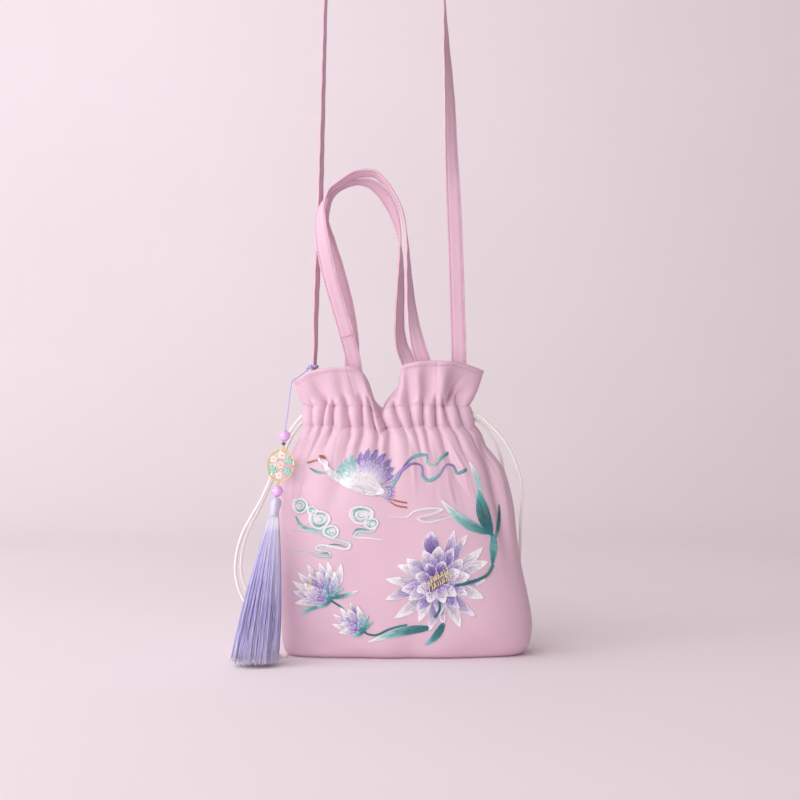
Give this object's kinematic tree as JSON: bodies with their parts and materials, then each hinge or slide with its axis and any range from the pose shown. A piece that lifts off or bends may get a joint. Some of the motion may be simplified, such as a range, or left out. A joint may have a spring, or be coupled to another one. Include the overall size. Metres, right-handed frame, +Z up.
{
  "type": "chinese embroidered drawstring purse",
  "caption": "Small satin drawstring purse with a gathered frill, hand loops, a long shoulder strap and a tassel pendant.",
  "frame": {"origin": "underside of the highest point of the shoulder strap, where it hangs", "axes": "+Z up along the hanging purse, +X to the right seen from the front, front towards -Y"},
  "size_m": [0.2551, 0.1299, 0.792],
  "materials": {
    "satin": "soft sheen pink satin",
    "white_cord": "soft off-white cord",
    "lilac_thread": "waxed lilac thread",
    "bead": "clear polished lilac",
    "dark_bead": "polished dark purple",
    "gilt": "polished pale gilt with enamel",
    "tassel_silk": "glossy lilac silk"
  },
  "bodies": {
    "root": {"pouch": "satin", "handle_front": "satin", "handle_back": "satin", "shoulder_strap": "satin", "drawstring_left_front": "white_cord", "drawstring_left_back": "white_cord", "drawstring_right_front": "white_cord", "drawstring_right_back": "white_cord", "knot_left": "white_cord", "knot_right": "white_cord", "pendant_thread": "lilac_thread", "tassel_thread": "lilac_thread", "bead_upper": "bead", "bead_lower": "bead", "bead_spacer": "dark_bead", "medallion": "gilt", "tassel_cap": "tassel_silk", "tassel_skirt": "tassel_silk"}
  },
  "joints": []
}
